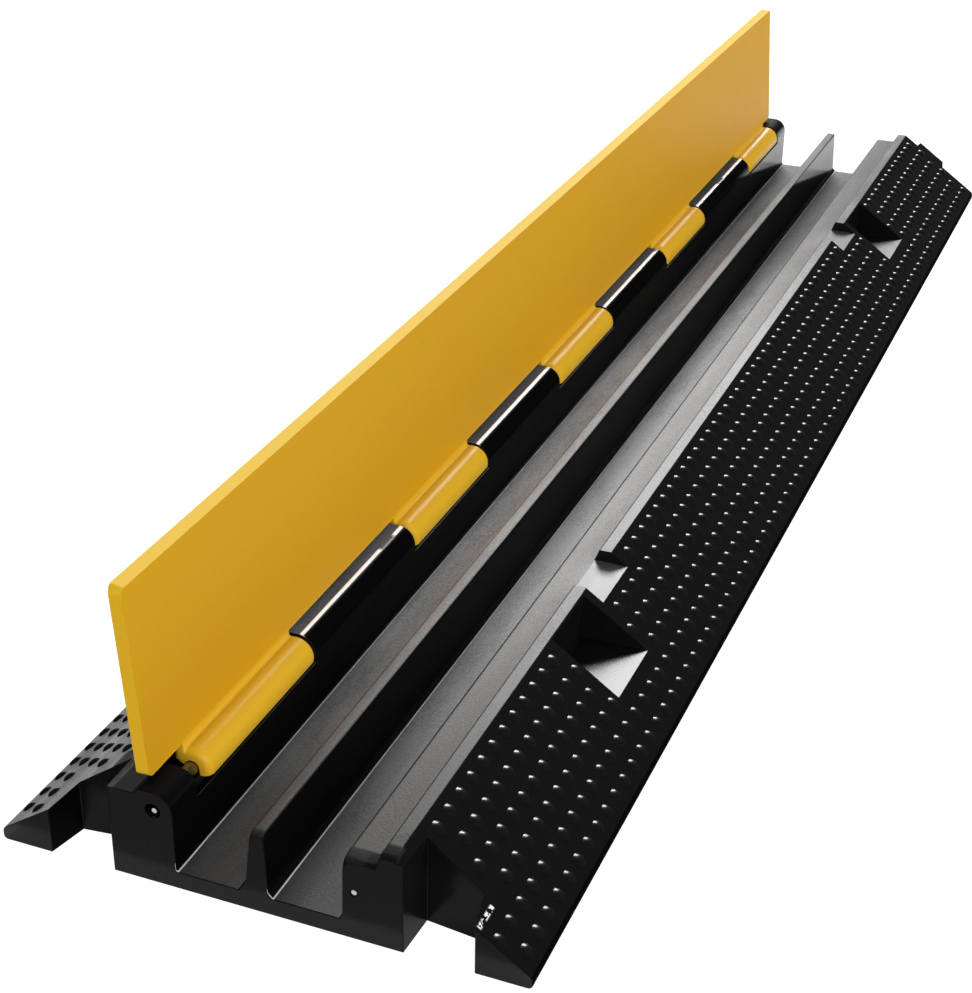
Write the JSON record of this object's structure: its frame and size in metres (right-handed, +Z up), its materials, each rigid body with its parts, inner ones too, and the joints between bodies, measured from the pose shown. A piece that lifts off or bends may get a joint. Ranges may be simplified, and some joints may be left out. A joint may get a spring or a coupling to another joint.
{
  "type": "cable protector ramp",
  "caption": "Black rubber floor cord cover with cable channels, bumpy side ramps, end connectors and a hinged yellow lid standing open.",
  "frame": {"origin": "on the floor, under the middle of the bounding box, connector tabs included", "axes": "+Y along the channels towards the tabbed end, +Z up, +X from the hinge towards the lid's landing ledge"},
  "size_m": [0.2434, 1.018, 0.1372],
  "materials": {
    "base_rubber": "matte moulded black rubber",
    "lid_plastic": "satin yellow-orange moulded plastic",
    "rod_steel": "drawn steel rod"
  },
  "bodies": {
    "ramp": {"base": "base_rubber", "hinge_rod": "rod_steel"},
    "cover": {"lid": "lid_plastic"}
  },
  "joints": [
    {"name": "lid_hinge", "type": "hinge", "parent": "ramp", "child": "cover", "pos_m": [-0.0455, 0, 0.037], "axis": [0, 1, 0], "range_deg": [0, 94]}
  ]
}
